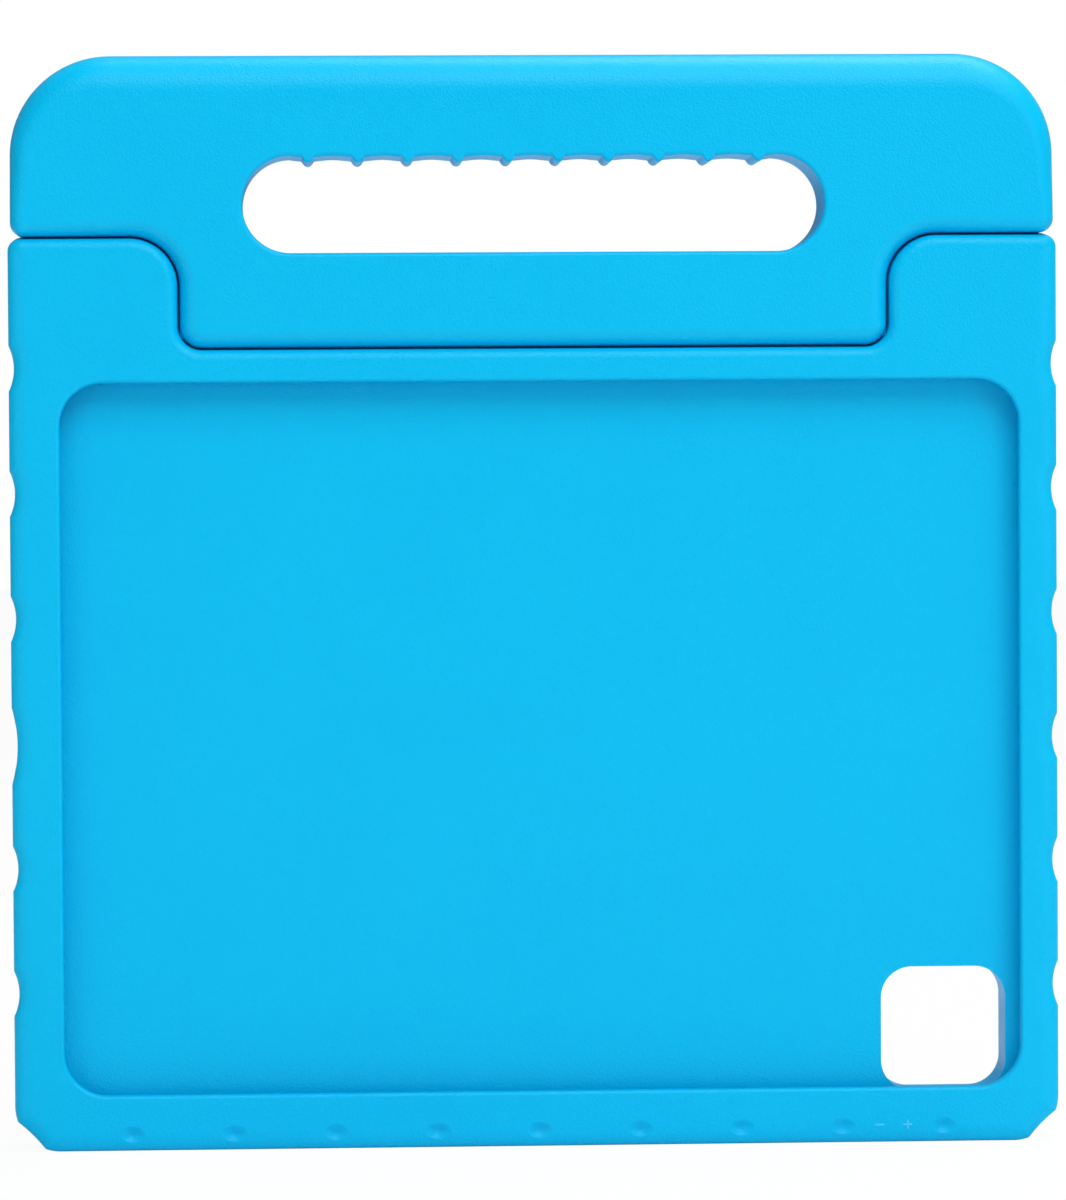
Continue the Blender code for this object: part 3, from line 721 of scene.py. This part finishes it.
def button_forms(name, span, middle, along, inwards):
    """A button's recess and the raised pad in it, whose width runs from front to back."""
    sizes = bpy.context.scene.opening_sizes

    def ring(outline, depth):
        sunk = depth * Vector(inwards)
        return [middle + x * Vector(along) + Vector((0, y, 0)) + sunk for x, y in outline]

    margins = 2 * sizes.button_margin
    recess = rounded_rectangle((span + margins, sizes.button_width + margins))
    pad = rounded_rectangle((span, sizes.button_width))
    vectors = inward_vectors(pad)
    soft = sizes.button_height / 2
    top = sizes.button_recess - sizes.button_height
    cut = [ring(recess, depth) for depth in (-OVERCUT, sizes.button_recess)]
    pad_rings = [ring(pad, sizes.button_recess + OVERCUT / 2)]
    for reach, depth in quarter(PAD_RIM_STEPS):
        shift = soft * reach
        moved = [(x + shift * dx, y + shift * dy) for (x, y), (dx, dy) in zip(pad, vectors)]
        pad_rings.append(ring(moved, top + soft * depth))
    return loft(f"{name}_recess", cut), loft(f"{name}_pad", pad_rings)


def body_buttons():
    """Recesses and pads of the volume and power buttons."""
    sizes = bpy.context.scene.opening_sizes
    span, _, _, front, floor = pocket()
    depth = (front + floor) / 2
    middle = span / 2 - sizes.volume_inset
    height = bpy.context.scene.body_sizes.sill + sizes.power_inset
    pairs = []
    for side, word in ((-1, "down"), (1, "up")):
        spot = Vector((middle + side * sizes.volume_pitch / 2, depth, 0))
        pairs.append(button_forms(f"volume_{word}", sizes.volume_length, spot, (1, 0, 0), (0, 0, 1)))
    spot = Vector((BODY_HALF, depth, height))
    pairs.append(button_forms("power", sizes.power_length, spot, (0, 0, 1), (-1, 0, 0)))
    return zip(*pairs)


def scoop_cutter(name, side, x):
    """Cutter for one soft-edged scoop in the front or back of the bottom edge."""
    sizes = bpy.context.scene.body_sizes
    rings = []
    for step in range(1, SCOOP_RINGS + 1):
        share = step / SCOOP_RINGS
        bite = sizes.scoop_bite * (0.5 + 0.5 * math.cos(math.pi * share)) - LEAST_RADIUS
        depth = side * (HALF_DEPTH - bite)
        ring = []
        for turn in range(SCOOP_STEPS):
            around = 2 * math.pi * turn / SCOOP_STEPS
            across = share * sizes.scoop_width / 2 * math.cos(around)
            up = share * sizes.scoop_height / 2 * math.sin(around)
            ring.append((x + across, depth, sizes.scoop_middle + up))
        rings.append(ring)
    rings.append([(px, side * (HALF_DEPTH + OVERCUT), pz) for px, _, pz in rings[-1]])
    return loft(name, rings)


def scoop_cutters():
    """Cutters for the scoops along the bottom edge, at the front and at the back."""
    sizes = bpy.context.scene.body_sizes
    found = []
    for side, word in ((-1, "front"), (1, "back")):
        for i in range(sizes.scoop_count):
            x = (i - (sizes.scoop_count - 1) / 2) * sizes.scoop_pitch
            found.append(scoop_cutter(f"scoop_{word}_{i}", side, x))
    return found


def cylinder(radius, low, high):
    """Profile of a plain cylinder for turned()."""
    return [(0, high), (radius, high), (radius, low), (0, low)]


def swing_cutter():
    """Cutter for the room behind the hinge that the handle swings through. It leaves the ears' domes."""
    sizes = bpy.context.scene.hinge_sizes
    wall = ear_wall()
    reach = BODY_HALF + OVERCUT
    narrow = wall + EAR_DOME_SHARE * sizes.ear_arc
    top = sizes.ear_rise + OVERCUT
    rings = []
    for depth in (0, HALF_DEPTH + OVERCUT):
        low = -(trough_radius() - depth * math.cos(sizes.swing)) / math.sin(sizes.swing)
        outline = [(-narrow, low), (narrow, low), (narrow, 0), (reach, 0)]
        outline += [(reach, top), (-reach, top), (-reach, 0), (-narrow, 0)]
        rings.append(flat_ring([(x, HINGE.z + z) for x, z in outline], depth))
    room = loft("swing_room", rings)
    ease = sizes.swing_ease
    rise = sizes.ear_rise - sizes.ear_arc
    dome = [(z - ease, x) for x, z in arc((wall + sizes.ear_arc, rise), sizes.ear_arc, 90, 180)]
    stub = wall - OVERCUT
    ends = [(0, reach + OVERCUT), (sizes.ear_rise - ease, reach + OVERCUT)]
    profile = [*ends, *dome, (rise - ease, stub), (0, stub)]
    combine(room, [turned(f"ear_form_{word}", profile, side, roll=0.5) for side, word in SIDES])
    return room


def hinge_cutters():
    """Cutters for the trough, the swing room, the bolts' bores and the sunk seats of their heads."""
    sizes = bpy.context.scene.hinge_sizes
    wall = ear_wall()
    seat = sizes.head + sizes.head_gap
    bore = sizes.bolt + sizes.bolt_gap
    floor = BODY_HALF - sizes.head_sunk - sizes.head_height - sizes.fit_gap
    profile = [(0, BODY_HALF + OVERCUT), (seat, BODY_HALF + OVERCUT), (seat, floor)]
    profile += [(bore, floor), (bore, wall - OVERCUT), (0, wall - OVERCUT)]
    holes = [turned(f"bolt_hole_{word}", profile, side, roll=0.25) for side, word in SIDES]
    end = wall - bpy.context.scene.body_sizes.swell
    return [turned("trough", cylinder(trough_radius(), -end, end)), swing_cutter(), *holes]


class TABLETCASE_OT_body(bpy.types.Operator):
    """Add the foam body with its window, pocket, ears, grooves and openings"""

    bl_idname = "tablet_case.body"
    bl_label = "Foam Body"

    def execute(self, context):
        sizes = context.scene.opening_sizes
        body = body_blank()
        combine(body, hinge_cutters())
        middle = pocket()[2]
        cutters = [window_cutter(), camera_cutter()]
        cutters.append(flank_cutter("port", -1, middle, sizes.port_length, sizes.port_width))
        heights = groove_heights()
        speaker = (sizes.speaker_length, sizes.speaker_width)
        for side, word in SIDES:
            for height in (heights[0], heights[-2]):
                cutters.append(flank_cutter(f"speaker_{word}", side, height, *speaker))
        cutters += scoop_cutters()
        recesses, pads = body_buttons()
        combine(body, [*cutters, *recesses])
        combine(body, list(pads), "UNION")
        dress(body, shared_material("moulded_foam", foam_material), "case")
        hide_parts("case_body")
        return {"FINISHED"}


def handle_half():
    """Right half of the handle's outline: points, inward vectors and rounding, tab to top."""
    sizes = bpy.context.scene.handle_sizes
    hinge = bpy.context.scene.hinge_sizes
    half = HANDLE_HIGH[0]
    fillet = hinge.tab_fillet - hinge.seam
    wall = ear_wall() - hinge.seam
    under = HINGE.z + hinge.ear_rise + hinge.seam
    corner = (half - sizes.seam_corner, under + sizes.seam_corner)
    shoulder = HANDLE_HIGH[2] - sizes.corner
    ear = (wall + hinge.seam + hinge.ear_arc, HINGE.z + hinge.ear_rise - hinge.ear_arc)
    rows = []

    def add(centre, radius, start, end, rims, hollow=False):
        steps = arc_steps(start, end)
        for step in range(steps + 1):
            share = step / steps
            turn = math.radians(start + (end - start) * share)
            out = (math.cos(turn), math.sin(turn))
            point = (centre[0] + radius * out[0], centre[1] + radius * out[1])
            inward = out if hollow else (-out[0], -out[1])
            rows.append((point, inward, rims[0] + (rims[1] - rims[0]) * share))

    seam = (sizes.seam_rim, sizes.seam_rim)
    add((wall - fillet, HINGE.z - hinge.barrel + fillet), fillet, -90, 0, seam)
    add(ear, hinge.ear_arc + hinge.seam, 180, 90, seam, hollow=True)
    add(corner, sizes.seam_corner, -90, 0, (sizes.corner_rim, sizes.corner_rim))
    for step in range(1, HANDLE_SIDE_STEPS):
        share = step / HANDLE_SIDE_STEPS
        rim = sizes.corner_rim + (sizes.side_rim - sizes.corner_rim) * eased(share)
        rows.append(((half, corner[1] + (shoulder - corner[1]) * share), (-1, 0), rim))
    add((half - sizes.corner, shoulder), sizes.corner, 0, 90, (sizes.side_rim, sizes.grip_rim))
    return rows


def handle_blank():
    """The handle with rounded edges, before anything is cut out of it."""
    half = handle_half()
    rows = half + [((-x, z), (-dx, dz), rim) for (x, z), (dx, dz), rim in reversed(half)]
    rings = []
    for side in (-1, 1):
        found = []
        for reach, depth in quarter(HANDLE_RIM_STEPS):
            ring = []
            for (x, z), (dx, dz), rim in rows:
                shift = rim * reach
                ring.append((x + shift * dx, side * (HALF_DEPTH - rim * depth), z + shift * dz))
            found.append(ring)
        rings += found[::-1] if side < 0 else found
    return loft("foam_handle", rings)


def slot_ceiling(x):
    """Drop of the hand slot's ceiling at this X: an arch between ridges, and the ridges themselves."""
    sizes = bpy.context.scene.handle_sizes
    spot = x / sizes.ridge_pitch + (sizes.ridge_count - 1) / 2
    nearest = min(max(round(spot), 0), sizes.ridge_count - 1)
    away = abs(spot - nearest) * sizes.ridge_pitch
    arch = sizes.ridge_sag * (0.5 + 0.5 * math.cos(2 * math.pi * min(away / sizes.ridge_pitch, 0.5)))
    inside = max(0, 1 - (away / sizes.ridge_half_width) ** 2)
    return arch + sizes.ridge_depth * inside**RIDGE_BLUNTNESS


def slot_cutter():
    """Cutter for the hand slot, with finger ridges in its ceiling and round edges."""
    sizes = bpy.context.scene.handle_sizes
    radius = sizes.slot_height / 2
    middle = HINGE.z + sizes.slot_floor + radius
    straight = sizes.slot_length / 2 - radius
    steps = round(2 * straight / CEILING_STEP)
    xs = [straight - 2 * straight * i / steps for i in range(1, steps)]
    ceiling = [(x, middle + radius - slot_ceiling(x)) for x in xs]
    right = arc((straight, middle), radius, -90, 90)
    left = arc((-straight, middle), radius, 90, 270)
    outline = right + ceiling + left
    vectors = inward_vectors(outline)
    vectors[len(right) : len(right) + len(ceiling)] = [(0, -1)] * len(ceiling)
    front = flare(outline, sizes.slot_rim, -HALF_DEPTH, -1, vectors)
    back = flare(outline, sizes.slot_rim, HALF_DEPTH, 1, vectors)
    return loft("hand_slot", front[::-1] + back)


def barrel_cutter():
    """Cutter that leaves the tab round about the hinge, below and behind the axis."""
    sizes = bpy.context.scene.hinge_sizes
    low = -sizes.barrel - OVERCUT
    far = HALF_DEPTH + OVERCUT
    reach = ear_wall() - sizes.seam / 2
    room = prism("barrel_room", [(0, low), (far, low), (far, 0), (0, 0)], -reach, reach)
    profile = cylinder(sizes.barrel, -reach - OVERCUT, reach + OVERCUT)
    combine(room, [turned("barrel_form", profile)])
    return room


def tab_core():
    """Round middle of the tab. It fills the trough's corners, so that no light comes through them."""
    sizes = bpy.context.scene.hinge_sizes
    reach = ear_wall() - sizes.seam - LEAST_RADIUS
    core = turned("tab_core", cylinder(sizes.barrel - LEAST_RADIUS, -reach, reach), roll=0.5)
    half = HALF_DEPTH - OVERCUT
    low = -sizes.barrel - OVERCUT
    section = [(-half, low), (half, low), (half, 0), (-half, 0)]
    room = prism("core_room", section, -reach - OVERCUT, reach + OVERCUT)
    combine(core, [room], "INTERSECT")
    return core


class TABLETCASE_OT_handle(bpy.types.Operator):
    """Add the foam handle with its ridged hand slot and the round tab of its hinge"""

    bl_idname = "tablet_case.handle"
    bl_label = "Foam Handle"

    def execute(self, context):
        sizes = context.scene.hinge_sizes
        handle = handle_blank()
        end = BOLT_LOW[0] - sizes.bolt_room
        profile = cylinder(sizes.insert + sizes.fit_gap, end, INSERT_HIGH[0] + OVERCUT)
        holes = [turned(f"insert_hole_{word}", profile, side) for side, word in SIDES]
        combine(handle, [barrel_cutter(), slot_cutter()])
        combine(handle, [tab_core()], "UNION")
        combine(handle, holes)
        dress(handle, shared_material("moulded_foam", foam_material), "handle")
        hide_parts("carry_handle")
        return {"FINISHED"}


class TABLETCASE_OT_bolts(bpy.types.Operator):
    """Add the two pivot bolts with slotted heads"""

    bl_idname = "tablet_case.bolts"
    bl_label = "Pivot Bolts"

    def execute(self, context):
        sizes = context.scene.hinge_sizes
        end, top = BOLT_LOW[0], BOLT_HIGH[0]
        under = top - sizes.head_height
        soft = sizes.head_round
        edge = arc((sizes.head - soft, top - soft), soft, 90, 0, HEAD_ROUND_STEPS)
        profile = [(0, top), *edge, (sizes.head, under), (sizes.bolt, under)]
        profile += [(sizes.bolt, end + soft), (sizes.bolt - soft / 2, end), (0, end)]
        section = rounded_rectangle((sizes.slot_length, sizes.slot_width))
        for side, word in SIDES:
            bolt = turned(f"bolt_{word}", profile, side)
            slot = prism("head_slot", section, side * (top - sizes.slot_depth), side * (top + OVERCUT))
            combine(bolt, [slot])
            dress(bolt, shared_material("moulded_plastic", plastic_material), "handle")
            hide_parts(f"pivot_bolt_{word}")
        return {"FINISHED"}


class TABLETCASE_OT_inserts(bpy.types.Operator):
    """Give the two threaded inserts their material"""

    bl_idname = "tablet_case.inserts"
    bl_label = "Threaded Inserts"

    def execute(self, context):
        material = shared_material("moulded_plastic", plastic_material)
        for _, word in SIDES:
            insert = frame["nodes"][f"pivot_insert_{word}"]
            for place in insert.material_slots:
                place.material = material
        return {"FINISHED"}


class TABLETCASE_OT_marks(bpy.types.Operator):
    """Add the raised minus and plus marks above the volume pads"""

    bl_idname = "tablet_case.marks"
    bl_label = "Volume Marks"

    def execute(self, context):
        sizes = context.scene.opening_sizes
        middle = pocket()[0] / 2 - sizes.volume_inset
        arm, half, rise, height = sizes.mark_arm, sizes.mark_half_width, sizes.mark_rise, sizes.mark_height
        bar = [(-arm, -half), (arm, -half), (arm, half), (-arm, half)]
        cross = [(-arm, -half), (-half, -half), (-half, -arm), (half, -arm), (half, -half), (arm, -half)]
        cross += [(-x, -z) for x, z in cross]
        for side, word, outline in ((-1, "minus", bar), (1, "plus", cross)):
            x = middle + side * sizes.volume_pitch / 2
            face = -HALF_DEPTH
            rings = []
            for scale, depth in ((0.8, face - rise), (1, face - rise / 2), (1, face + rise)):
                rings.append([(x + scale * px, depth, height + scale * pz) for px, pz in outline])
            mark = loft(f"volume_{word}_mark", rings)
            dress(mark, shared_material("raised_mark", mark_material), "case")
        return {"FINISHED"}


def softbox(name, place, target, size, power):
    """A rectangular area lamp at a place, turned to a target."""
    light = bpy.data.lights.new(name, "AREA")
    light.shape = "RECTANGLE"
    light.size, light.size_y = size
    light.energy = power
    lamp = bpy.data.objects.new(name, light)
    bpy.context.scene.collection.objects.link(lamp)
    lamp.location = place
    lamp.rotation_mode = "QUATERNION"
    lamp.rotation_quaternion = (Vector(target) - Vector(place)).to_track_quat("-Z", "Y")


def add_camera(studio):
    """The camera at the photograph's angle."""
    camera = bpy.data.cameras.new("camera")
    camera.sensor_width = 36
    focal_pixels = studio.scale / MM * studio.distance
    camera.lens = focal_pixels * camera.sensor_width / max(PHOTO_WIDTH, PHOTO_HEIGHT)
    camera.clip_start = 0.01
    item = bpy.data.objects.new("camera", camera)
    bpy.context.scene.collection.objects.link(item)
    rise, turn = studio.elevation, studio.azimuth
    back = Vector((math.sin(turn) * math.cos(rise), -math.cos(turn) * math.cos(rise), math.sin(rise)))
    level = (-back).to_track_quat("-Z", "Y")
    item.location = Vector(studio.target) + studio.distance * back
    item.rotation_mode = "QUATERNION"
    item.rotation_quaternion = Quaternion(back, studio.roll) @ level
    bpy.context.scene.camera = item


def add_floor():
    """A pale floor that is white to the camera and keeps the case's shadow."""
    shape = bmesh.new()
    signs = ((-1, -1), (1, -1), (1, 1), (-1, 1))
    shape.faces.new([shape.verts.new((FLOOR_HALF * x, FLOOR_HALF * y, 0)) for x, y in signs])
    floor = new_object("floor", shape)
    material, surface, shader = new_surface("pale_floor")
    surface.feed(shader, {"Base Color": (0.9, 0.9, 0.9, 1), "Roughness": 0.9})
    seen = surface.node("ShaderNodeLightPath", output="Is Camera Ray")
    white = surface.node("ShaderNodeEmission", {}, {"Color": (1, 1, 1, 1), "Strength": 1.0})
    plain = Value(surface, shader.outputs[0])
    both = surface.node("ShaderNodeMixShader", {}, {0: FLOOR_WHITENESS * seen, 1: plain, 2: white})
    surface.feed(surface.tree.nodes["Material Output"], {"Surface": both})
    floor.data.materials.append(material)


def add_world(fill):
    """Even light from all round. The camera sees it white."""
    world = bpy.data.worlds.new("studio")
    bpy.context.scene.world = world
    surface = Surface(world)
    seen = surface.node("ShaderNodeLightPath", output="Is Camera Ray")
    strength = fill + (1 - fill) * seen
    surface.feed(surface.tree.nodes["Background"], {"Color": (1, 1, 1, 1), "Strength": strength})


class TABLETCASE_OT_stage(bpy.types.Operator):
    """Add the camera, the lamps, the pale floor and the white surroundings"""

    bl_idname = "tablet_case.stage"
    bl_label = "Studio"

    def execute(self, context):
        studio = context.scene.studio_look
        middle = (0, 0, (BODY_LOW[2] + HANDLE_HIGH[2]) / 2)
        for name, place, size, power in LAMPS:
            softbox(name, place, middle, size, getattr(studio, power))
        add_camera(studio)
        add_floor()
        add_world(studio.fill)
        context.scene.view_settings.view_transform = "Standard"
        return {"FINISHED"}


OPERATORS = (
    TABLETCASE_OT_body,
    TABLETCASE_OT_handle,
    TABLETCASE_OT_bolts,
    TABLETCASE_OT_inserts,
    TABLETCASE_OT_marks,
    TABLETCASE_OT_stage,
)

GROUPS = {
    "body_sizes": BodySizes,
    "groove_sizes": GrooveSizes,
    "opening_sizes": OpeningSizes,
    "hinge_sizes": HingeSizes,
    "handle_sizes": HandleSizes,
    "foam_look": FoamLook,
    "studio_look": StudioLook,
}


class TABLETCASE_PT_panel(bpy.types.Panel):
    """Buttons for each piece, and the sizes and colours"""

    bl_idname = "TABLETCASE_PT_panel"
    bl_label = "Kids Tablet Case"
    bl_space_type = "VIEW_3D"
    bl_region_type = "UI"
    bl_category = "Tablet Case"

    def draw(self, context):
        for operator in OPERATORS:
            self.layout.operator(operator.bl_idname)
        for name, group in GROUPS.items():
            box = self.layout.box()
            for size in group.__annotations__:
                box.prop(getattr(context.scene, name), size)


def register():
    for group in GROUPS.values():
        bpy.utils.register_class(group)
    for name, group in GROUPS.items():
        setattr(bpy.types.Scene, name, bpy.props.PointerProperty(type=group))
    for item in (*OPERATORS, TABLETCASE_PT_panel):
        bpy.utils.register_class(item)


def unregister():
    for item in reversed((*OPERATORS, TABLETCASE_PT_panel)):
        bpy.utils.unregister_class(item)
    for name, group in GROUPS.items():
        delattr(bpy.types.Scene, name)
        bpy.utils.unregister_class(group)


def main():
    """Add every piece and the stage."""
    register()
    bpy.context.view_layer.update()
    bpy.ops.tablet_case.body()
    bpy.ops.tablet_case.handle()
    bpy.ops.tablet_case.bolts()
    bpy.ops.tablet_case.inserts()
    bpy.ops.tablet_case.marks()
    bpy.ops.tablet_case.stage()


if __name__ == "__main__":
    main()
